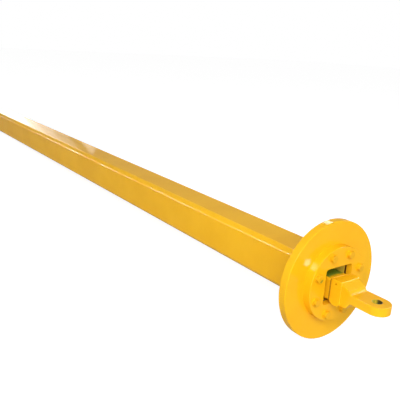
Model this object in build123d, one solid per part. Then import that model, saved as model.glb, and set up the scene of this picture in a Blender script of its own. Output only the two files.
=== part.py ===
from build123d import *
import os
from math import cos, radians, sin, sqrt, tan

# Telescopic square kelly bar for a small rotary drilling rig, lying on its side with all sections in.
# Three square sections slide in one another: an outer tube with a round stop flange, a middle tube,
# and a solid inner bar that carries the lifting head at one end and the drive stub at the other.
# Millimetres. The origin is the centre of the pin bore in the lifting lug, +X points out of the lug end,
# and +Z is up, along the pin bore. The tubes run from the flange towards -X.

# ---- outer tube: two press-bent channels welded along the middle of the sides
outer_side = 200.0  # across the flats
outer_wall = 16.0
outer_corner = 21.0  # leg of the flat that the press leaves across each corner
outer_bend_radius = 8.0  # on the two bends beside each corner flat
outer_length = 4900.0  # from the flange's front face to the lower end of the end plate
outer_recess = 5.0  # how far the tube's mouth stands back in the flange, room for the inner weld

# ---- stop flange, which lands on the rotary head
flange_diameter = 530.0
flange_thickness = 37.5
flange_rim_radius = 3.0

# ---- cover plate, bolted to the flange over the mouth of the tube
cover_diameter = 330.0
cover_thickness = 36.5
cover_window = 158.0  # square window, across the flats
cover_window_radius = 14.0
cover_edge = 2.0  # chamfer on the front rim
cover_relief_side = 180.0  # square relief in the back face, round the window
cover_relief_depth = 6.0

# ---- cover bolts
bolt_count = 8
bolt_circle = 270.0
bolt_first_angle = 22.5
bolt_diameter = 20.0
bolt_across_flats = 30.0
bolt_head_height = 12.5
bolt_crown_diameter = 28.5  # flat on top of the head, inside the turned cone
bolt_crown_angle = 30.0  # of the cone, from the flat
bolt_thread_depth = 28.0  # depth of the tapped holes in the flange
bolt_end_gap = 1.0  # left under a bolt's end
bolt_hole_clearance = 1.0  # radial, in the cover
thread_gap = 0.1  # radial, between a plain shank and the flange's hole
washer_thickness = 3.0
washer_diameter = 37.0

# ---- fits between the sections
middle_drop = 4.0  # how far the middle tube lies below the outer tube's axis
inner_drop = 8.5  # how far the inner bar lies below the middle tube's axis
rest_gap = 0.3  # left under a section where it lies on the one around it
guide_clearance = 1.5  # round a section, in the guides at the lower end of the one around it
stop_gap = 1.0  # left between end faces that meet when a section is fully in

# ---- middle tube
middle_side = 150.0
middle_wall = 10.0
middle_corner = 14.0
middle_bend_radius = 5.0
middle_top = 70.0  # its upper end, behind the flange's front face

# ---- inner bar, solid
inner_side = 100.0
inner_corner = 8.0
inner_collar_top = 160.0  # upper end of its stop collar, behind the flange's front face
inner_start = 48.0  # where the bar meets the lifting head, in front of the flange's front face

# ---- stop collars at the upper ends, and guides at the lower ends
collar_length = 120.0
collar_lead = 2.0  # chamfer at both ends of a collar
strip_length = 160.0
strip_share = 0.72  # width of a wear strip, as a share of the bore it lies in
outer_plate_thickness = 25.0
middle_plate_side = 180.0
middle_plate_thickness = 25.0

# ---- shock absorber at the lower end of the inner bar
tray_diameter = 160.0
tray_thickness = 20.0
tray_clearance = 1.0  # round the bar
tray_travel = 45.0
spring_length = 140.0
spring_wire = 12.0
spring_mean_diameter = 145.0
spring_turns = 4
spring_gap = 0.3  # left at each end of the spring
seat_diameter = 156.0
seat_thickness = 20.0

# ---- drive stub, which goes into the drilling tool's socket
stub_side = 130.0
stub_corner = 9.0
stub_length = 200.0
stub_bore = 50.0
stub_bore_to_end = 80.0
stub_neck = 8.0  # bar left bare between the spring seat and the stub
stub_lead = 12.0  # chamfer round the free end

# ---- lifting head: one forging, a shoulder, a tapering root and a lug
lug_bore = 40.0
lug_width = 102.0
lug_thickness = 38.0
lug_reach = 234.0  # pin bore to the flange's front face with every section in
lug_nose = 6.0  # how far the centre of the rounded end lies beyond the bore
shoulder_side = 112.0
shoulder_length = 53.0
shoulder_top_radius = 8.0
shoulder_bottom_radius = 20.0
root_top = 48.5  # height of the root where it leaves the shoulder
root_bottom = 47.5
root_slope_length = 33.0  # the gentle slope on top
root_slope_drop = 14.5
root_flat_length = 27.0  # the flat underneath
root_end = 46.0  # where the root runs into the lug, from the shoulder
root_step = 10.0  # length of the steep faces down to the lug
root_fillet = 10.0
root_edge = 3.0
shoulder_edge = 3.0
lug_edge = 2.5
side_hole_diameter = 8.0  # blind hole in the shoulder's side, for a locking screw
side_hole_depth = 12.0
side_hole_from_back = 24.0
side_hole_height = 38.5

# ---- weld beads
flange_weld_leg = 12.0  # fills a groove in the flange and is ground flush, so that the flange lands flat
head_weld_leg = 5.5
stub_weld_leg = 6.0
weld_toe = 0.6  # thickness left at the thin edge of a bead

# ---- places along X and Z that follow from these
flange_front = -lug_reach
flange_back = flange_front - flange_thickness
cover_front = flange_front + cover_thickness
inner_axis = 0.0
middle_axis = inner_axis + inner_drop
outer_axis = middle_axis + middle_drop
outer_bore = outer_side - 2 * outer_wall
middle_bore = middle_side - 2 * middle_wall
outer_end = flange_front - outer_length
outer_tube_top = flange_front - outer_recess
outer_tube_end = outer_end + outer_plate_thickness
middle_start = flange_front - middle_top
middle_tube_end = outer_end - stop_gap
middle_end = middle_tube_end - middle_plate_thickness
tray_front = middle_end - stop_gap
tray_back = tray_front - tray_thickness
seat_front = tray_back - spring_length
seat_back = seat_front - seat_thickness
stub_front = seat_back - stub_neck
stub_end = stub_front - stub_length
shoulder_back = flange_front + inner_start
shoulder_front = shoulder_back + shoulder_length
middle_window = middle_side + 2 * guide_clearance
inner_window = inner_side + 2 * guide_clearance
middle_collar_side = outer_bore - 2 * (middle_drop + rest_gap)
inner_collar_side = middle_bore - 2 * (inner_drop + rest_gap)


def inside_corner(corner, wall):
    """Leg of the corner flat of a square that lies a wall's thickness inside another."""
    return corner - wall * (2 - sqrt(2))


def square_bar(side, corner, start, end, axis, bend=0.0):
    """A square bar along X from start to end, with a flat across each corner and a bend beside each flat."""
    section = chamfer(Rectangle(side, side).vertices(), corner)
    if bend > 0:
        section = fillet(section.vertices(), bend)
    solid = extrude(Plane.YZ.offset(start) * section, end - start)
    return Pos(0, 0, axis) * solid


def round_bar(diameter, start, end, axis):
    """A round bar along X from start to end."""
    solid = extrude(Plane.YZ.offset(start) * Circle(diameter / 2), end - start)
    return Pos(0, 0, axis) * solid


def round_square_bar(side, radius, start, end, axis):
    """A square bar along X from start to end, with rounded corners."""
    solid = extrude(Plane.YZ.offset(start) * RectangleRounded(side, side, radius), end - start)
    return Pos(0, 0, axis) * solid


def square_tube(side, corner, bend, wall, start, end, axis):
    """A bent square tube along X from start to end."""
    bore = square_bar(side - 2 * wall, inside_corner(corner, wall), start, end, axis)
    return square_bar(side, corner, start, end, axis, bend) - bore


def weld_bead(side, corner, leg, root, direction, axis, bend=0.0):
    """A bead round a square bar, as wide as it is long, thinning out from the plane of its root."""
    sections = []
    for away, rise in ((0.0, leg), (leg - weld_toe, weld_toe)):
        square = chamfer(Rectangle(side + 2 * rise, side + 2 * rise).vertices(), inside_corner(corner, -rise))
        sections.append(Plane.YZ.offset(root + direction * away) * square)
    bead = Pos(0, 0, axis) * loft(sections)
    low = min(root, root + direction * leg)
    return bead - square_bar(side, corner, low, low + leg, axis, bend)


def bolt_places():
    """Angle of each cover bolt round the tube's axis."""
    return [bolt_first_angle + 360.0 / bolt_count * i for i in range(bolt_count)]


def at_bolts(shape):
    """Copies of a shape that stands at the tube's axis, one at each cover bolt."""
    out = []
    for angle in bolt_places():
        y = bolt_circle / 2 * cos(radians(angle))
        z = bolt_circle / 2 * sin(radians(angle))
        out.append(Pos(0, y, z) * shape)
    return out


def outer_tube():
    return square_tube(outer_side, outer_corner, outer_bend_radius, outer_wall,
                       outer_tube_end, outer_tube_top, outer_axis)


def stop_flange():
    disc = round_bar(flange_diameter, flange_back, flange_front, outer_axis)
    disc = fillet(disc.edges().filter_by(GeomType.CIRCLE), flange_rim_radius)
    disc -= square_bar(outer_side, outer_corner, flange_back, flange_front, outer_axis, outer_bend_radius)
    disc -= flange_weld()
    hole = round_bar(bolt_diameter + 2 * thread_gap, flange_front - bolt_thread_depth, flange_front, outer_axis)
    for tapped in at_bolts(hole):
        disc -= tapped
    return disc


def flange_weld():
    return weld_bead(outer_side, outer_corner, flange_weld_leg, flange_back, 1, outer_axis, outer_bend_radius)


def cover_plate():
    plate = round_bar(cover_diameter, flange_front, cover_front, outer_axis)
    plate = chamfer(plate.edges().filter_by(GeomType.CIRCLE).sort_by(Axis.X)[-1], cover_edge)
    plate -= round_square_bar(cover_window, cover_window_radius, flange_front, cover_front, outer_axis)
    relief_end = flange_front + cover_relief_depth
    plate -= round_square_bar(cover_relief_side, cover_window_radius, flange_front, relief_end, outer_axis)
    hole = round_bar(bolt_diameter + 2 * bolt_hole_clearance, flange_front, cover_front, outer_axis)
    for clear in at_bolts(hole):
        plate -= clear
    return plate


def cover_washers():
    ring = round_bar(washer_diameter, cover_front, cover_front + washer_thickness, outer_axis)
    ring -= round_bar(bolt_diameter + 2 * thread_gap, cover_front, cover_front + washer_thickness, outer_axis)
    return Compound(children=at_bolts(ring))


def cover_bolts():
    """Hexagon bolts, whose heads are turned to a cone that takes the tips off the corners."""
    under_head = cover_front + washer_thickness
    head = extrude(Plane.YZ.offset(under_head) * RegularPolygon(bolt_across_flats / 2, 6, major_radius=False),
                   bolt_head_height)
    crown_radius = bolt_crown_diameter / 2
    foot_radius = crown_radius + bolt_head_height / tan(radians(bolt_crown_angle))
    cone = Rot(0, 90, 0) * Cone(foot_radius, crown_radius, bolt_head_height)
    head &= Pos(under_head + bolt_head_height / 2, 0, 0) * cone
    shank_end = flange_front - bolt_thread_depth + bolt_end_gap
    shank = extrude(Plane.YZ.offset(shank_end) * Circle(bolt_diameter / 2), under_head - shank_end)
    bolt = Pos(0, 0, outer_axis) * (head + shank)
    return Compound(children=at_bolts(bolt))


def wear_strips(bore, window, bore_axis, window_axis, start, end):
    """Four flat strips, welded inside a tube's lower end, whose faces stand at the window's sides."""
    length = end - start
    middle = (start + end) / 2
    width = bore * strip_share
    solids = []
    for side in (-1, 1):
        wall = bore_axis + side * bore / 2
        face = window_axis + side * window / 2
        solids.append(Pos(middle, 0, (wall + face) / 2) * Box(length, width, abs(wall - face)))
        wall = side * bore / 2
        face = side * window / 2
        solids.append(Pos(middle, (wall + face) / 2, window_axis) * Box(length, abs(wall - face), width))
    return Compound(children=solids)


def outer_wear_strips():
    return wear_strips(outer_bore, middle_window, outer_axis, middle_axis,
                       outer_tube_end, outer_tube_end + strip_length)


def outer_end_plate():
    plate = square_bar(outer_side, outer_corner, outer_end, outer_tube_end, outer_axis, outer_bend_radius)
    return plate - square_bar(middle_window, middle_corner, outer_end, outer_tube_end, middle_axis)


def middle_tube():
    return square_tube(middle_side, middle_corner, middle_bend_radius, middle_wall,
                       middle_tube_end, middle_start, middle_axis)


def stop_collar(side, bar_side, corner, top, axis, bend=0.0):
    """A square sleeve welded round the upper end of a section, with a lead at both ends."""
    end = top - collar_length
    sleeve = square_bar(side, corner, end, top, axis)
    ends = sleeve.faces().sort_by(Axis.X)
    sleeve = chamfer(ends[0].edges() + ends[-1].edges(), collar_lead)
    return sleeve - square_bar(bar_side, corner, end, top, axis, bend)


def middle_collar():
    return stop_collar(middle_collar_side, middle_side, middle_corner, middle_start, middle_axis,
                       middle_bend_radius)


def middle_wear_strips():
    return wear_strips(middle_bore, inner_window, middle_axis, inner_axis,
                       middle_tube_end, middle_tube_end + strip_length)


def middle_end_plate():
    plate = square_bar(middle_plate_side, middle_corner, middle_end, middle_tube_end, middle_axis)
    return plate - square_bar(inner_window, inner_corner, middle_end, middle_tube_end, inner_axis)


def inner_bar():
    return square_bar(inner_side, inner_corner, stub_front, shoulder_back, inner_axis)


def head_weld():
    return weld_bead(inner_side, inner_corner, head_weld_leg, shoulder_back, -1, inner_axis)


def stub_weld():
    return weld_bead(inner_side, inner_corner, stub_weld_leg, stub_front, 1, inner_axis)


def inner_collar():
    return stop_collar(inner_collar_side, inner_side, inner_corner,
                       flange_front - inner_collar_top, inner_axis)


def head_shoulder():
    """The block next to the bar, rounded where it was forged and a little on every edge."""
    block = extrude(Plane.XZ * (Pos((shoulder_back + shoulder_front) / 2, 0)
                                * Rectangle(shoulder_length, shoulder_side)), shoulder_side / 2, both=True)
    along = block.edges().filter_by(Axis.Y).sort_by(Axis.Z)
    block = fillet(along[:2], shoulder_bottom_radius)
    along = block.edges().filter_by(Axis.Y).sort_by(Axis.Z)
    block = fillet(along[-2:], shoulder_top_radius)
    sides = block.faces().sort_by(Axis.Y)
    block = fillet(sides[0].edges() + sides[-1].edges(), shoulder_edge)
    hole = Rot(90, 0, 0) * Cylinder(side_hole_diameter / 2, side_hole_depth * 2)
    return block - Pos(shoulder_back + side_hole_from_back, -shoulder_side / 2, side_hole_height) * hole


def head_lug():
    """The root, which tapers from the shoulder to the flat lug, and the lug with its round end and its bore."""
    half = lug_thickness / 2
    slope_end = shoulder_front + root_slope_length
    flat_end = shoulder_front + root_flat_length
    lug_start = shoulder_front + root_end
    inside = shoulder_front - shoulder_edge
    side_view = Polyline(
        (inside, root_top),
        (shoulder_front, root_top),
        (slope_end, root_top - root_slope_drop),
        (slope_end + root_step, half),
        (lug_nose, half),
        (lug_nose, -half),
        (lug_start, -half),
        (flat_end, -root_bottom),
        (inside, -root_bottom),
        close=True,
    )
    root = extrude(Plane.XZ * make_face(side_view), lug_width / 2, both=True)
    across = root.edges().filter_by(Axis.Y)
    root = fillet([edge for edge in across if abs(edge.center().X - slope_end - root_step) < 1
                   or abs(edge.center().X - lug_start) < 1], root_fillet)
    across = root.edges().filter_by(Axis.Y)
    root = fillet([edge for edge in across if abs(edge.center().X - slope_end) < 1
                   or abs(edge.center().X - flat_end) < 1], root_edge)
    lug = root + extrude(Plane.XY.offset(-half) * (Pos(lug_nose, 0) * Circle(lug_width / 2)), lug_thickness)
    rims = [edge for edge in lug.edges() if edge.center().X > inside + 0.1
            and abs((edge @ 0).Y) > 1 and abs((edge @ 0).X - (edge @ 1).X) > 0.01
            or edge.geom_type == GeomType.CIRCLE and edge.center().X > lug_nose]
    lug = fillet(rims, lug_edge)
    return lug - extrude(Plane.XY.offset(-half) * Circle(lug_bore / 2), lug_thickness)


def lifting_head():
    return head_shoulder() + head_lug()


def spring_tray():
    plate = round_bar(tray_diameter, tray_back, tray_front, inner_axis)
    return plate - square_bar(inner_side + 2 * tray_clearance, inner_corner, tray_back, tray_front, inner_axis)


def shock_spring():
    """An open coil with its wire kept clear of the tray and of the seat."""
    run = spring_length - 2 * spring_gap - spring_wire
    path = Helix(pitch=run / spring_turns, height=run, radius=spring_mean_diameter / 2)
    wire = sweep(Plane(origin=path @ 0, z_dir=path % 0) * Circle(spring_wire / 2), path=path)
    start = seat_front + spring_gap + spring_wire / 2
    return Pos(start, 0, inner_axis) * Rot(0, 90, 0) * wire


def spring_seat():
    plate = round_bar(seat_diameter, seat_back, seat_front, inner_axis)
    return plate - square_bar(inner_side, inner_corner, seat_back, seat_front, inner_axis)


def drive_stub():
    stub = square_bar(stub_side, stub_corner, stub_end, stub_front, inner_axis)
    stub = chamfer(stub.faces().sort_by(Axis.X)[0].edges(), stub_lead)
    bore = Pos(stub_end + stub_bore_to_end, 0, inner_axis) * Rot(90, 0, 0) * Cylinder(stub_bore / 2, stub_side)
    return stub - bore


nodes = {
    "outer_tube": outer_tube,
    "stop_flange": stop_flange,
    "flange_weld": flange_weld,
    "cover_plate": cover_plate,
    "cover_washers": cover_washers,
    "cover_bolts": cover_bolts,
    "outer_wear_strips": outer_wear_strips,
    "outer_end_plate": outer_end_plate,
    "middle_tube": middle_tube,
    "middle_collar": middle_collar,
    "middle_wear_strips": middle_wear_strips,
    "middle_end_plate": middle_end_plate,
    "inner_bar": inner_bar,
    "inner_collar": inner_collar,
    "lifting_head": lifting_head,
    "head_weld": head_weld,
    "spring_tray": spring_tray,
    "shock_spring": shock_spring,
    "spring_seat": spring_seat,
    "drive_stub": drive_stub,
    "stub_weld": stub_weld,
}

os.makedirs("parts", exist_ok=True)
for name, make in nodes.items():
    export_step(make(), f"parts/{name}.step")
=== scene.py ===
from math import cos, sin

import bpy
import numpy as np
from mathutils import Matrix, Vector


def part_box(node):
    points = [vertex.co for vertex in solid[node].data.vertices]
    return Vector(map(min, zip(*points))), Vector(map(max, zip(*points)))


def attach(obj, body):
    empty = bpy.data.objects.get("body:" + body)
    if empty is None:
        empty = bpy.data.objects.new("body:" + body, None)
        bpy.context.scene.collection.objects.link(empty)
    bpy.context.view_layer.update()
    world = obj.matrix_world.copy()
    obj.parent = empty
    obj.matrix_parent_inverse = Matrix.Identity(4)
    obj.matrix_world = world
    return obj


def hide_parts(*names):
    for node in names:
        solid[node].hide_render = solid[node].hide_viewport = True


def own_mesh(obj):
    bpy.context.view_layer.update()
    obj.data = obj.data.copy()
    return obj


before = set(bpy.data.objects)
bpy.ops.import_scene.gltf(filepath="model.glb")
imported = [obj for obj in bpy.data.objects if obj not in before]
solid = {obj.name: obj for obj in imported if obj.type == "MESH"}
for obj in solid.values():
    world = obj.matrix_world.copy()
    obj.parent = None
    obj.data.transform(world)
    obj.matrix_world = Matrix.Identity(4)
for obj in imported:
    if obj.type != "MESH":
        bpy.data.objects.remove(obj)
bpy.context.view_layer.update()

# ---- camera ----
# It stands beyond the lug end, to one side of the bar, and looks along the bar towards its far end.
# The lens is close to a full-frame camera's 50 mm, and the camera is held with a small tilt.
# Angles are in radians.
focal_length = 48.39
full_frame_width = 36.0
eye = Vector((1.1249, -1.6921, 0.9388))
turn = 0.94304
pitch = 0.28142
tilt = 0.05778
back = Vector((sin(turn) * cos(pitch), -cos(turn) * cos(pitch), sin(pitch)))
level = Vector((0, 0, 1)).cross(back).normalized()
upright = back.cross(level)
right = level * cos(tilt) + upright * sin(tilt)
up = upright * cos(tilt) - level * sin(tilt)
camera_data = bpy.data.cameras.new("camera")
camera_data.lens = focal_length
camera_data.sensor_width = full_frame_width
camera = bpy.data.objects.new("camera", camera_data)
camera.matrix_world = Matrix.Translation(eye) @ Matrix((right, up, back)).transposed().to_4x4()
bpy.context.scene.collection.objects.link(camera)
bpy.context.scene.camera = camera

# ---- room ----
# The bar lies on a pale floor, which slopes just enough to touch the flange's rim and the tube's far end.
# Beyond the tube it is level, so that the sections can run out over it. Light comes from the white room all
# round, from lamps at the lug end, and from windows that only show in the enamel's shine.
floor_half = 40.0
floor_grey = 0.38
floor_glow = 0.86
flange_low, flange_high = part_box("stop_flange")
tube_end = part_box("outer_end_plate")[0]
floor_slope = (tube_end.z - flange_low.z) / (tube_end.x - flange_low.x)
near_edge = flange_low.z + (floor_half - flange_low.x) * floor_slope
floor_line = [(-floor_half, tube_end.z), (tube_end.x, tube_end.z), (floor_half, near_edge)]
floor_points = [(x, side * floor_half, z) for side in (-1, 1) for x, z in floor_line]
floor_mesh = bpy.data.meshes.new("floor")
floor_mesh.from_pydata(floor_points, [], [(0, 1, 4, 3), (1, 2, 5, 4)])
floor = bpy.data.objects.new("floor", floor_mesh)
bpy.context.scene.collection.objects.link(floor)


def shader(tree, kind, place, **values):
    """A shader node at a place in the graph.

    Each value goes to the input of that name, or else to the setting of that name.
    """
    node = tree.nodes.new(kind)
    node.location = place
    for name, value in values.items():
        name = name.replace("_", " ") if name.replace("_", " ") in node.inputs else name
        if name in node.inputs:
            node.inputs[name].default_value = value
        else:
            setattr(node, name, value)
    return node


def seen_or_mirrored(tree):
    """1 for a ray from the camera, a reflection or a refraction, and 0 for one that gathers light."""
    rays = shader(tree, "ShaderNodeLightPath", (-900, 0))
    first = shader(tree, "ShaderNodeMath", (-700, 0), operation="MAXIMUM")
    second = shader(tree, "ShaderNodeMath", (-500, 0), operation="MAXIMUM")
    tree.links.new(rays.outputs["Is Camera Ray"], first.inputs[0])
    tree.links.new(rays.outputs["Is Glossy Ray"], first.inputs[1])
    tree.links.new(first.outputs[0], second.inputs[0])
    tree.links.new(rays.outputs["Is Transmission Ray"], second.inputs[1])
    return second.outputs[0]


# To the camera the floor glows, so that it is as white as the room and still takes a soft shadow.
floor_paint = bpy.data.materials.new("floor_white")
floor_paint.use_nodes = True
tree = floor_paint.node_tree
tree.nodes.clear()
matt = shader(tree, "ShaderNodeBsdfDiffuse", (-100, 150), Color=(floor_grey,) * 3 + (1,))
share = shader(tree, "ShaderNodeMath", (-300, 0), operation="MULTIPLY")
share.inputs[1].default_value = floor_glow
lift = shader(tree, "ShaderNodeEmission", (-100, 0), Color=(1, 1, 1, 1))
both = shader(tree, "ShaderNodeAddShader", (100, 100))
out = shader(tree, "ShaderNodeOutputMaterial", (300, 100))
tree.links.new(seen_or_mirrored(tree), share.inputs[0])
tree.links.new(share.outputs[0], lift.inputs["Strength"])
tree.links.new(matt.outputs[0], both.inputs[0])
tree.links.new(lift.outputs[0], both.inputs[1])
tree.links.new(both.outputs[0], out.inputs["Surface"])
floor_mesh.materials.append(floor_paint)

# The room is white to the camera and in reflections. The light it casts is weaker overhead than low down.
sky_overhead = (0.21, 0.21, 0.21)
sky_low_down = (1.0, 1.0, 1.0)
sky_top_at = 0.7
room = bpy.data.worlds.new("room")
room.use_nodes = True
tree = room.node_tree
tree.nodes.clear()
direction = shader(tree, "ShaderNodeTexCoord", (-900, 300))
heading = shader(tree, "ShaderNodeSeparateXYZ", (-700, 300))
climb = shader(tree, "ShaderNodeMapRange", (-500, 300), From_Min=0.0, From_Max=sky_top_at)
shade = shader(tree, "ShaderNodeMix", (-300, 300), data_type="RGBA")
shade.inputs["A"].default_value = sky_low_down + (1,)
shade.inputs["B"].default_value = sky_overhead + (1,)
soft = shader(tree, "ShaderNodeBackground", (-100, 100), Strength=1.0)
white = shader(tree, "ShaderNodeBackground", (-100, -50), Color=(1, 1, 1, 1), Strength=1.0)
mix = shader(tree, "ShaderNodeMixShader", (100, 50))
out = shader(tree, "ShaderNodeOutputWorld", (300, 50))
tree.links.new(direction.outputs["Generated"], heading.inputs[0])
tree.links.new(heading.outputs["Z"], climb.inputs["Value"])
tree.links.new(climb.outputs[0], shade.inputs["Factor"])
tree.links.new(shade.outputs["Result"], soft.inputs["Color"])
tree.links.new(seen_or_mirrored(tree), mix.inputs[0])
tree.links.new(soft.outputs[0], mix.inputs[1])
tree.links.new(white.outputs[0], mix.inputs[2])
tree.links.new(mix.outputs[0], out.inputs["Surface"])
bpy.context.scene.world = room
bpy.context.scene.view_settings.view_transform = "Standard"


def lamp(name, at, aim, width, height, brightness, mirrored_only=False, roll=0.0):
    """A flat lamp of the given width and height that faces aim, turned by roll about its own axis.

    Brightness is what its face shows, with 1 as white. A mirrored_only lamp casts no light on paint, so it
    only shows in the enamel's shine.
    """
    data = bpy.data.lights.new(name, "AREA")
    data.shape = "RECTANGLE"
    data.size = width
    data.size_y = height
    data.energy = brightness * np.pi * width * height
    lit = bpy.data.objects.new(name, data)
    lit.visible_camera = False
    lit.visible_diffuse = not mirrored_only
    away = (Vector(at) - Vector(aim)).normalized()
    facing = away.to_track_quat("Z", "Y").to_matrix().to_4x4()
    lit.matrix_world = Matrix.Translation(at) @ facing @ Matrix.Rotation(roll, 4, "Z")
    bpy.context.scene.collection.objects.link(lit)


# Three lamps light the bar. The windows and the row of side lights only show in its shine.
rim_centre = (flange_low + flange_high) / 2
lamp("umbrella", (4.2, -5.6, 5.2), rim_centre, 4.2, 4.2, 10.0)
lamp("softbox", (3.6, -1.2, 3.2), rim_centre, 2.6, 2.6, 2.2)
lamp("front_fill", (3.2, -2.6, 0.8), rim_centre, 1.5, 1.5, 3.8)
lamp("sky_window", (5.3, -4.75, 5.3), rim_centre, 2.4, 2.4, 30.0, mirrored_only=True)
lamp("side_lights", (-11.7, -3.0, 2.3), (-11.7, 0, 0.1), 16.6, 0.5, 140.0, mirrored_only=True)
lamp("back_window", (-6.8, 9.4, 8.0), (-0.2, 0, 0), 6.0, 3.6, 16.0, mirrored_only=True)
lamp("right_window", (1.4, 3.85, 2.9), (-0.1, 0, 0), 3.2, 1.1, 15.0, mirrored_only=True)

# Beyond the far end, a doorway leans as the bar sees it, with paler panes beside it and apart from it.
# Each has its middle's distance from the doorway's edge, its width and its brightness.
lean = 0.675
pane_height = 4.0
along_bar = Vector((1, 0, 0))
across_door = Vector((0, cos(lean), -sin(lean)))
door_edge = Vector((-16.0, 3.96, 2.2))
panes = {
    "far_doorway": (-1.5, 3.0, 12.0),
    "far_pane_1": (0.10, 0.20, 6.0),
    "far_pane_2": (0.32, 0.24, 3.5),
    "far_pane_3": (0.58, 0.28, 1.6),
    "far_pane_4": (1.06, 0.20, 2.6),
    "far_pane_5": (1.30, 0.28, 1.3),
}
for pane, (shift, width, brightness) in panes.items():
    middle = door_edge + shift * across_door
    lamp(pane, middle, middle + along_bar, width, pane_height, brightness, mirrored_only=True, roll=lean)

# The corner between flange and cover plate mirrors one window twice, and two small lamps stand in for that.
cover_low, cover_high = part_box("cover_plate")
glint_angle = 2.52
glint_gap = 0.002
plate_glint_in_front = 0.014
flange_glint_outside = 0.029
outward = Vector((0, cos(glint_angle), sin(glint_angle)))
corner = Vector((cover_low.x, 0, rim_centre.z)) + cover_high.y * outward
on_plate = corner + glint_gap * outward + plate_glint_in_front * along_bar
on_flange = corner + flange_glint_outside * outward + glint_gap * along_bar
lamp("glint_on_plate", on_plate, on_plate - outward, 0.028, 0.030, 10.0, mirrored_only=True)
lamp("glint_on_flange", on_flange, on_flange - along_bar, 0.034, 0.028, 14.0, mirrored_only=True)

# ---- outer tube ----
# Two channels pressed from 16 mm plate and welded into a square tube, with a narrow flat across each corner.
# Outside it has the glossy yellow enamel of the whole bar. Inside the mouth the spray landed dry, and it is
# painted paler there as painted light on the shaded walls. A hand's width down it fades into green primer.


def calculate(tree, operation, first, second):
    """A sum, product or other operation on two sockets or numbers. Returns its output."""
    node = shader(tree, "ShaderNodeMath", (0, -600), operation=operation)
    for socket, value in zip(node.inputs, (first, second)):
        if isinstance(value, (int, float)):
            socket.default_value = value
        else:
            tree.links.new(value, socket)
    return node.outputs[0]


def ramp(tree, value, start, end):
    """0 up to start, 1 from end on, and smooth between them."""
    node = shader(tree, "ShaderNodeMapRange", (0, -800), interpolation_type="SMOOTHSTEP")
    node.inputs["From Min"].default_value = start
    node.inputs["From Max"].default_value = end
    tree.links.new(value, node.inputs["Value"])
    return node.outputs["Result"]


def between(tree, value, start, end):
    """Goes straight from start to end as the value goes from 0 to 1."""
    return calculate(tree, "ADD", calculate(tree, "MULTIPLY", value, end - start), start)


def noise(tree, place, scale, detail=4.0, roughness=0.6, stretch=(1, 1, 1)):
    """Cloud noise on the object's own coordinates, which can be drawn out along an axis."""
    mapping = shader(tree, "ShaderNodeMapping", (-1400, 0))
    mapping.inputs["Scale"].default_value = stretch
    cloud = shader(tree, "ShaderNodeTexNoise", (-1200, 0), Scale=scale, Detail=detail, Roughness=roughness)
    tree.links.new(place.outputs["Object"], mapping.inputs["Vector"])
    tree.links.new(mapping.outputs[0], cloud.inputs["Vector"])
    return cloud.outputs["Fac"]


def blend_colour(tree, factor, first, second):
    """Goes from the first colour to the second as the factor goes from 0 to 1. Either may be a socket."""
    node = shader(tree, "ShaderNodeMix", (-900, 300), data_type="RGBA")
    tree.links.new(factor, node.inputs["Factor"])
    for name, colour in (("A", first), ("B", second)):
        if isinstance(colour, tuple):
            node.inputs[name].default_value = colour + (1,)
        else:
            tree.links.new(colour, node.inputs[name])
    return node.outputs["Result"]


def layer(tree, colour, roughness, bump, depth, metal=0.0, shine=0.5, lacquer=0.0):
    """One layer of finish. Colour, roughness and bump are sockets, and bump is a height pattern."""
    lacquer_roughness = 0.04
    relief_strength = 0.3
    skin = shader(tree, "ShaderNodeBsdfPrincipled", (-200, 0))
    skin.inputs["Metallic"].default_value = metal
    skin.inputs["Specular IOR Level"].default_value = shine
    skin.inputs["Coat Weight"].default_value = lacquer
    skin.inputs["Coat Roughness"].default_value = lacquer_roughness
    relief = shader(tree, "ShaderNodeBump", (-500, -300), Strength=relief_strength, Distance=depth)
    tree.links.new(bump, relief.inputs["Height"])
    tree.links.new(relief.outputs["Normal"], skin.inputs["Normal"])
    tree.links.new(relief.outputs["Normal"], skin.inputs["Coat Normal"])
    tree.links.new(colour, skin.inputs["Base Color"])
    tree.links.new(roughness, skin.inputs["Roughness"])
    return skin.outputs[0]


def enamel(tree, place, waves=0.0):
    """Glossy yellow sprayed enamel: cloudy colour, uneven gloss, orange peel and a little settled dust.

    waves is how uneven the plate under it is, as a multiple of the peel.
    """
    deep_yellow = (0.93, 0.478, 0.008)
    full_yellow = (0.975, 0.518, 0.010)
    dust_colour = (0.62, 0.42, 0.12)
    dust_share = 0.18
    peel_depth = 0.00004
    cloud = ramp(tree, noise(tree, place, scale=3.2, detail=5.0), 0.36, 0.64)
    colour = blend_colour(tree, cloud, deep_yellow, full_yellow)
    dust = ramp(tree, noise(tree, place, scale=60.0, detail=6.0, roughness=0.75), 0.62, 0.85)
    colour = blend_colour(tree, calculate(tree, "MULTIPLY", dust, dust_share), colour, dust_colour)
    gloss = between(tree, noise(tree, place, scale=24.0, detail=6.0, roughness=0.7), 0.06, 0.18)
    peel = noise(tree, place, scale=420.0, detail=2.0, roughness=0.45)
    if waves:
        swell = noise(tree, place, scale=5.0, detail=2.0, roughness=0.5, stretch=(0.6, 1.6, 1.6))
        peel = calculate(tree, "ADD", peel, calculate(tree, "MULTIPLY", swell, waves))
    return layer(tree, colour, gloss, peel, peel_depth, shine=0.0, lacquer=0.22)


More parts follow.
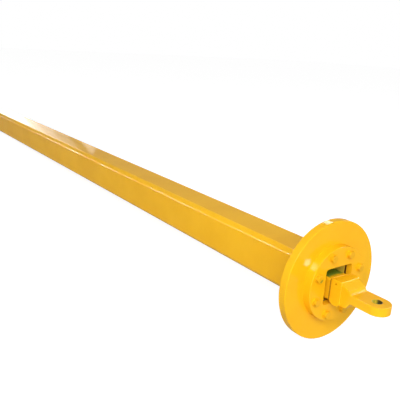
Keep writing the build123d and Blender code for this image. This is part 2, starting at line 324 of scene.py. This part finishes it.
def primer(tree, place):
    """Matt olive-green primer, rubbed through to steel in long streaks and smeared with dark grease."""
    dark_green = (0.120, 0.205, 0.008)
    light_green = (0.170, 0.265, 0.012)
    steel_colour = (0.26, 0.25, 0.22)
    grease_colour = (0.030, 0.022, 0.010)
    grain_depth = 0.0002
    cloud = ramp(tree, noise(tree, place, scale=7.0, detail=6.0, roughness=0.7), 0.35, 0.65)
    colour = blend_colour(tree, cloud, dark_green, light_green)
    streaks = noise(tree, place, scale=60.0, detail=5.0, roughness=0.7, stretch=(0.02, 1, 1))
    rubbed = ramp(tree, streaks, 0.60, 0.72)
    colour = blend_colour(tree, calculate(tree, "MULTIPLY", rubbed, 0.5), colour, steel_colour)
    smears = noise(tree, place, scale=14.0, detail=5.0, roughness=0.65, stretch=(0.15, 1, 1))
    grease = ramp(tree, smears, 0.58, 0.70)
    colour = blend_colour(tree, calculate(tree, "MULTIPLY", grease, 0.75), colour, grease_colour)
    dull = between(tree, grease, 0.62, 0.28)
    grain = noise(tree, place, scale=300.0)
    return layer(tree, colour, dull, grain, grain_depth, shine=0.15)


def overspray_with_painted_lift(tree, place):
    """Spray that dried in the air before it landed: matt, and paler than the enamel, which also paints light
    into shade.
    """
    dry_lifted_yellow = (0.90, 0.64, 0.055)
    pale_lifted_yellow = (0.96, 0.74, 0.085)
    dust_depth = 0.0001
    cloud = ramp(tree, noise(tree, place, scale=30.0, detail=5.0), 0.35, 0.65)
    colour = blend_colour(tree, cloud, dry_lifted_yellow, pale_lifted_yellow)
    dull = between(tree, cloud, 0.5, 0.7)
    return layer(tree, colour, dull, noise(tree, place, scale=400.0), dust_depth, shine=0.2)


def grime_and_shade(tree, place):
    """Old grease and dust in a gap that no spray reaches, also laid on as painted shade."""
    dark_brown = (0.160, 0.060, 0.008)
    light_brown = (0.280, 0.120, 0.016)
    crust_depth = 0.0003
    cloud = ramp(tree, noise(tree, place, scale=80.0, detail=5.0), 0.35, 0.70)
    colour = blend_colour(tree, cloud, dark_brown, light_brown)
    dull = between(tree, cloud, 0.5, 0.8)
    return layer(tree, colour, dull, noise(tree, place, scale=200.0), crust_depth, shine=0.1)


def new_finish(name):
    """An empty material. Returns it with its node tree and the object's own coordinates."""
    made = bpy.data.materials.new(name)
    made.use_nodes = True
    made.node_tree.nodes.clear()
    return made, made.node_tree, shader(made.node_tree, "ShaderNodeTexCoord", (-1700, 0))


def close(tree, surface):
    """Ends a material with its surface."""
    tree.links.new(surface, shader(tree, "ShaderNodeOutputMaterial", (300, 0)).inputs["Surface"])


def over(tree, mask, under, top):
    """The top layer where the mask is 1 and the layer under it where it is 0."""
    node = shader(tree, "ShaderNodeMixShader", (100, 0))
    tree.links.new(mask, node.inputs[0])
    tree.links.new(under, node.inputs[1])
    tree.links.new(top, node.inputs[2])
    return node.outputs[0]


def give_finish(nodes, finish):
    """Gives CAD nodes one finish."""
    for name in nodes:
        solid[name].data.materials.clear()
        solid[name].data.materials.append(finish)


def own_axes(tree, place):
    """The object's own X, Y and Z as three sockets."""
    node = shader(tree, "ShaderNodeSeparateXYZ", (-1500, -600))
    tree.links.new(place.outputs["Object"], node.inputs[0])
    return node.outputs["X"], node.outputs["Y"], node.outputs["Z"]


def off_axis(tree, across, height, axis):
    """How far a point lies from the tube's axis, measured square: the larger of its two offsets."""
    sideways = calculate(tree, "ABSOLUTE", across, 0)
    upwards = calculate(tree, "ABSOLUTE", calculate(tree, "SUBTRACT", height, axis), 0)
    return calculate(tree, "MAXIMUM", sideways, upwards)


tube_low, tube_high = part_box("outer_tube")
tube_axis = (tube_low.z + tube_high.z) / 2
bore_half = 0.084
plate_waves = 36.0
mouth_full_paint = tube_high.x - 0.055
mouth_last_paint = tube_high.x - 0.160
lip_painted = 0.0015
surface_gap = 0.0002
tube_finish, tree, place = new_finish("tube_enamel")
along, across, height = own_axes(tree, place)
off_centre = off_axis(tree, across, height, tube_axis)
outside = calculate(tree, "GREATER_THAN", off_centre, bore_half + surface_gap)
near_mouth = ramp(tree, along, mouth_last_paint, mouth_full_paint)
painted = calculate(tree, "MAXIMUM", outside, near_mouth)
# Past a thin painted lip, the end face is dark brown: no spray reached it, and it is also painted shade for
# the slit.
behind_end_face = calculate(tree, "LESS_THAN", along, tube_high.x - surface_gap)
inner_lip = calculate(tree, "LESS_THAN", off_centre, bore_half + lip_painted)
reached = calculate(tree, "MAXIMUM", behind_end_face, inner_lip)
painted = calculate(tree, "MULTIPLY", painted, reached)
unpainted = over(tree, reached, grime_and_shade(tree, place), primer(tree, place))
# Inside the bore the paint is the paler dry spray, which also lifts the shade there as painted light.
sprayed = over(tree, outside, overspray_with_painted_lift(tree, place), enamel(tree, place, plate_waves))
close(tree, over(tree, painted, unpainted, sprayed))
give_finish(["outer_tube"], tube_finish)

# ---- stop flange ----
# A disc flame-cut from 37.5 mm plate, turned true and welded round the tube near its mouth.
# The weld fills a groove in the back of the disc and is ground flush, so that the disc lands flat.
gold, tree, place = new_finish("yellow_enamel")
close(tree, enamel(tree, place))
give_finish(["stop_flange", "flange_weld"], gold)

# ---- cover plate, bolts and washers ----
# A turned steel plate with a square window, held on the flange by eight M20 bolts over flat washers. All
# were sprayed in place, so they carry the same enamel. It did not reach the relief in the back of the plate,
# which is dark brown with old grease and also carries painted shade, so that it shows as a dark slit beside
# the tube's mouth.
relief_half = 0.0905
relief_front = cover_low.x + 0.0085
cover_finish, tree, place = new_finish("cover_enamel")
along, across, height = own_axes(tree, place)
off_centre = off_axis(tree, across, height, tube_axis)
at_back = calculate(tree, "LESS_THAN", along, relief_front)
in_relief = calculate(tree, "MULTIPLY", at_back, calculate(tree, "LESS_THAN", off_centre, relief_half))
# Old grease and painted shade: the relief in the back of the plate is dark brown.
close(tree, over(tree, in_relief, enamel(tree, place), grime_and_shade(tree, place)))
give_finish(["cover_plate"], cover_finish)
give_finish(["cover_washers"], gold)

# Dust has settled on the bolts. A spanner has rubbed one thin on its flats, and the primer shows through.
bolt_ring = 0.135
rubbed_bolt = np.radians(157.5)
bolt_y = bolt_ring * cos(rubbed_bolt)
bolt_z = rim_centre.z + bolt_ring * sin(rubbed_bolt)
rubbed_at = (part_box("cover_bolts")[1].x - 0.004, bolt_y + 0.006, bolt_z - 0.010)
rubbed_radius = 0.0135
sound_radius = 0.0170
ragged_edge = 0.012
least_enamel = 0.4
dust_cover = 0.28
bolt_finish, tree, place = new_finish("bolt_enamel")
from_spot = shader(tree, "ShaderNodeVectorMath", (-1300, -600), operation="DISTANCE")
from_spot.inputs[1].default_value = rubbed_at
tree.links.new(place.outputs["Object"], from_spot.inputs[0])
ragged = calculate(tree, "MULTIPLY", noise(tree, place, scale=180.0), ragged_edge)
far_enough = calculate(tree, "ADD", from_spot.outputs["Value"], ragged)
kept = calculate(tree, "MAXIMUM", ramp(tree, far_enough, rubbed_radius, sound_radius), least_enamel)
rubbed = over(tree, kept, primer(tree, place), enamel(tree, place))
settled = calculate(tree, "MULTIPLY", noise(tree, place, scale=30.0), dust_cover)
close(tree, over(tree, settled, rubbed, grime_and_shade(tree, place)))
give_finish(["cover_bolts"], bolt_finish)

# ---- lower end of the outer tube ----
# A thick plate closes the tube round the middle section, and four flat strips inside guide it.
# The strips are bare wear plate, rubbed bright by the middle section.


def bare_steel(tree, place):
    """Machined steel with a thin film of oil, brown where it has begun to rust."""
    clean_steel = (0.44, 0.41, 0.33)
    rust_brown = (0.16, 0.115, 0.05)
    mark_depth = 0.0001
    cloud = ramp(tree, noise(tree, place, scale=90.0, detail=6.0, roughness=0.7), 0.40, 0.75)
    colour = blend_colour(tree, cloud, clean_steel, rust_brown)
    dull = between(tree, cloud, 0.28, 0.63)
    marks = noise(tree, place, scale=500.0, detail=3.0, stretch=(1, 1, 0.1))
    return layer(tree, colour, dull, marks, mark_depth, metal=0.85)


wear_steel, tree, place = new_finish("wear_steel")
close(tree, bare_steel(tree, place))
give_finish(["outer_end_plate"], gold)
give_finish(["outer_wear_strips"], wear_steel)

# ---- middle section ----
# A smaller tube made the same way, with a square collar round its top, an end plate at the bottom and guide
# strips inside. It was only primed, and it is rubbed and greasy from sliding in the outer tube.
green, tree, place = new_finish("green_primer")
close(tree, primer(tree, place))
give_finish(["middle_tube", "middle_collar", "middle_end_plate"], green)
give_finish(["middle_wear_strips"], wear_steel)

# ---- inner bar ----
# A solid square steel bar in the same green primer. The yellow was sprayed on with everything shut, so it
# ends in a ragged edge a few centimetres inside the mouth, deeper on the sides than on the top. On the
# sides, in the step behind the lifting head, a dark brown band is painted as painted shadow.
head_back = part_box("lifting_head")[0].x
bar_low, bar_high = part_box("inner_bar")
spray_reach = 0.024
spray_side_reach = 0.030
spray_fade = 0.020
ragged_spray = 0.020
top_skin = 0.002
step_shade_full_at = head_back - 0.0095
step_shade_starts_at = head_back - 0.0130
step_shade_share = 0.65
bar_finish, tree, place = new_finish("bar_primer")
along, across, height = own_axes(tree, place)
below_top = calculate(tree, "LESS_THAN", height, bar_high.z - top_skin)
ragged = calculate(tree, "MULTIPLY", noise(tree, place, scale=40.0, detail=3.0), ragged_spray)
reach = calculate(tree, "ADD", calculate(tree, "MULTIPLY", below_top, spray_side_reach), ragged)
spray_end = head_back - spray_reach
sprayed = ramp(tree, calculate(tree, "ADD", along, reach), spray_end, spray_end + spray_fade)
# Painted shadow: a band on the sides just behind the lifting head is blended towards dark brown.
in_step_shade = calculate(tree, "MULTIPLY", ramp(tree, along, step_shade_starts_at, step_shade_full_at), below_top)
step_shade = calculate(tree, "MULTIPLY", in_step_shade, step_shade_share)
painted = over(tree, sprayed, primer(tree, place), enamel(tree, place))
close(tree, over(tree, step_shade, painted, grime_and_shade(tree, place)))
give_finish(["inner_bar"], bar_finish)
give_finish(["inner_collar"], green)

# ---- lifting head ----
# One steel forging in the yellow enamel: a square shoulder, a tapering root and a flat lug. A rippled weld
# bead behind the shoulder holds it to the bar. The swivel's pin has rubbed the enamel in its bore thin and
# stained it, and one side of the bore is painted near black as painted shade.
bore_radius = 0.0202
rub_starts = bore_radius + 0.001
rub_ends = bore_radius + 0.0022
ragged_rub = 0.002
thin_yellow = (0.66, 0.50, 0.030)
smeared_yellow = (0.34, 0.28, 0.030)
# Near-black colour for the painted shade on one side of the bore.
bore_shade_colour = (0.030, 0.030, 0.015)
bore_shade_towards = (0.60, 0.80, 0)
bore_shade_full_at = 0.012
bore_shade_share = 0.92
smear_depth = 0.0001
head_finish, tree, place = new_finish("head_enamel")
flat = shader(tree, "ShaderNodeVectorMath", (-1500, -600), operation="MULTIPLY")
flat.inputs[1].default_value = (1, 1, 0)
distance = shader(tree, "ShaderNodeVectorMath", (-1300, -600), operation="LENGTH")
tree.links.new(place.outputs["Object"], flat.inputs[0])
tree.links.new(flat.outputs[0], distance.inputs[0])
ragged = calculate(tree, "MULTIPLY", noise(tree, place, scale=160.0), ragged_rub)
kept = ramp(tree, calculate(tree, "ADD", distance.outputs["Value"], ragged), rub_starts, rub_ends)
streaks = noise(tree, place, scale=90.0, detail=5.0, roughness=0.65, stretch=(1, 1, 0.3))
smears = ramp(tree, streaks, 0.45, 0.70)
stain_and_shade = blend_colour(tree, smears, thin_yellow, smeared_yellow)
# Painted shade: one side of the bore, along the direction given below, is blended towards near black.
bore_shaded_side = shader(tree, "ShaderNodeVectorMath", (-1300, -900), operation="DOT_PRODUCT")
bore_shaded_side.inputs[1].default_value = bore_shade_towards
tree.links.new(place.outputs["Object"], bore_shaded_side.inputs[0])
bore_shaded = ramp(tree, bore_shaded_side.outputs["Value"], 0.0, bore_shade_full_at)
stain_and_shade = blend_colour(tree, calculate(tree, "MULTIPLY", bore_shaded, bore_shade_share), stain_and_shade, bore_shade_colour)
dull = between(tree, smears, 0.35, 0.55)
stained_and_shaded = layer(tree, stain_and_shade, dull, noise(tree, place, scale=400.0), smear_depth, shine=0.2)
close(tree, over(tree, kept, stained_and_shaded, enamel(tree, place)))
give_finish(["lifting_head"], head_finish)


def grid_piece(name, points, closed_path, finish, node):
    """A piece of the inner section made of a grid of points, which stands for one CAD node.

    Rows follow the path, and columns go round the profile, which always closes. The path closes too, or else
    its ends are capped.
    """
    rows, columns = points.shape[:2]
    here = np.arange(rows * columns).reshape(rows, columns)
    beside = np.roll(here, -1, axis=1)
    ahead = np.roll(here, -1, axis=0)
    quads = np.stack([here, beside, np.roll(beside, -1, axis=0), ahead], axis=-1)
    quads = quads if closed_path else quads[:-1]
    faces = quads.reshape(-1, 4).tolist()
    if not closed_path:
        faces += [here[0, ::-1].tolist(), here[-1].tolist()]
    mesh = bpy.data.meshes.new(name)
    mesh.from_pydata(points.reshape(-1, 3).tolist(), [], faces)
    mesh.shade_smooth()
    mesh.materials.append(finish)
    piece = bpy.data.objects.new(name, mesh)
    bpy.context.scene.collection.objects.link(piece)
    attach(piece, "inner_section")
    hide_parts(node)
    return piece


# The bar's rounded corner, the weld's ripples, and how far it bulges and swings as a share of its leg.
bar_corner = 0.008
ripple_pitch = 0.003
rows_a_ripple = 10
profile_points = 9
crown = 0.10
crown_swing = 0.05
crest_lag = 1.4


def rippled_bead(name, node, wall_x, direction):
    """A fillet weld round the square bar, against the wall at wall_x, on the side that direction gives.

    Its profile goes straight from the bar to the wall, plus a bulge that follows half a sine. The bulge
    rises and falls along the path as a cosine, one wave a ripple. Across the bead its crests lag by a
    parabola. Direction is 1 or -1.
    """
    low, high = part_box(node)
    half = (bar_high.y - bar_low.y) / 2
    leg_out = high.y - bar_high.y
    leg_along = high.x - low.x
    straight = 2 * (half - bar_corner)
    quarter = straight + bar_corner * np.pi / 2
    ripples = round(4 * quarter / ripple_pitch)
    rows = ripples * rows_a_ripple
    distance = np.arange(rows) * (4 * quarter / rows)
    side, run = np.divmod(distance, quarter)
    bend = np.clip((run - straight) / bar_corner, 0, None)
    normal = np.stack([np.cos(bend), np.sin(bend)], axis=-1)
    along_side = np.minimum(run, straight) - straight / 2
    corner = np.stack([np.full_like(run, half - bar_corner), along_side], axis=-1)
    surface = corner + bar_corner * normal
    spin = side * np.pi / 2
    turn_matrix = np.array([[np.cos(spin), -np.sin(spin)], [np.sin(spin), np.cos(spin)]])
    surface, normal = (np.einsum("ijk,kj->ki", turn_matrix, v)[:, None, :] for v in (surface, normal))
    across = np.linspace(0, 1, profile_points)[None, :]
    lag = crest_lag * across * (1 - across)
    wave = np.cos(2 * np.pi * (distance[:, None] * ripples / (4 * quarter) - lag))
    bulge = np.sin(np.pi * across) * leg_along * (crown + crown_swing * wave)
    outwards = leg_out * across + bulge
    from_wall = leg_along * (1 - across) + bulge
    outwards = np.concatenate([outwards, np.zeros_like(outwards[:, :1])], axis=1)
    from_wall = np.concatenate([from_wall, np.zeros_like(from_wall[:, :1])], axis=1)
    crosswise = surface + outwards[:, :, None] * normal
    points = np.concatenate([(wall_x + direction * from_wall)[:, :, None], crosswise], axis=2)
    points[:, :, 2] += (bar_low.z + bar_high.z) / 2
    if direction < 0:
        points = points[:, ::-1]
    grid_piece(name, points, True, gold, node)


rippled_bead("head_weld_bead", "head_weld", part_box("head_weld")[1].x, -1)

# ---- shock absorber ----
# A loose steel tray lands on the middle section's end plate and squeezes a coil spring against a fixed seat.
# Tray and seat are painted with the bar. The spring is wound from round wire and painted black, and it
# shortens by as much as the tray moves.
black = (0.018, 0.018, 0.020)
rust_speck = (0.075, 0.050, 0.030)
speck_depth = 0.0002
spring_black, tree, place = new_finish("spring_black")
speckle = ramp(tree, noise(tree, place, scale=70.0, detail=6.0, roughness=0.7), 0.55, 0.75)
shade = blend_colour(tree, speckle, black, rust_speck)
dull = between(tree, speckle, 0.35, 0.65)
close(tree, layer(tree, shade, dull, noise(tree, place, scale=300.0), speck_depth))
give_finish(["spring_tray", "spring_seat"], gold)
coil_low, coil_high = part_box("shock_spring")
coil_length = coil_high.x - coil_low.x
wire = 0.012
turns = 4
rows_a_turn = 56
wire_sides = 20


def coil(share, round_wire):
    """A round wire along a helix about the bar.

    The first parameter turns the helix and carries it along X in proportion. The second goes round the wire.
    """
    radius = (coil_high.y - coil_low.y) / 2 - wire / 2
    length = coil_length - wire
    angle = 2 * np.pi * turns * share[:, None]
    flat = np.zeros_like(angle)
    outwards = np.stack([flat, np.sin(angle), -np.cos(angle)], axis=-1)
    forwards = np.stack([flat + length, 2 * np.pi * turns * radius * np.cos(angle),
                         2 * np.pi * turns * radius * np.sin(angle)], axis=-1)
    forwards /= np.linalg.norm(forwards, axis=-1, keepdims=True)
    sideways = np.cross(forwards, outwards)
    on_axis = np.stack([coil_low.x + wire / 2 + length * share[:, None], flat, flat], axis=-1)
    centre = on_axis + radius * outwards
    circle = np.cos(round_wire)[None, :, None] * outwards + np.sin(round_wire)[None, :, None] * sideways
    return centre + wire / 2 * circle


along_helix = np.linspace(0, 1, rows_a_turn * turns + 1)
round_wire = np.linspace(0, 2 * np.pi, wire_sides, endpoint=False)
coil_points = coil(along_helix, round_wire)
spring = grid_piece("shock_coil", coil_points, False, spring_black, "shock_spring")
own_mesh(spring)

# ---- drive stub ----
# A square steel block, welded to the end of the bar with a rippled bead all round and painted with it.
# It turns the drilling tool, whose socket goes over it. A pin through the hole across it holds the tool on.
give_finish(["drive_stub"], gold)
rippled_bead("stub_weld_bead", "stub_weld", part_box("stub_weld")[0].x, 1)
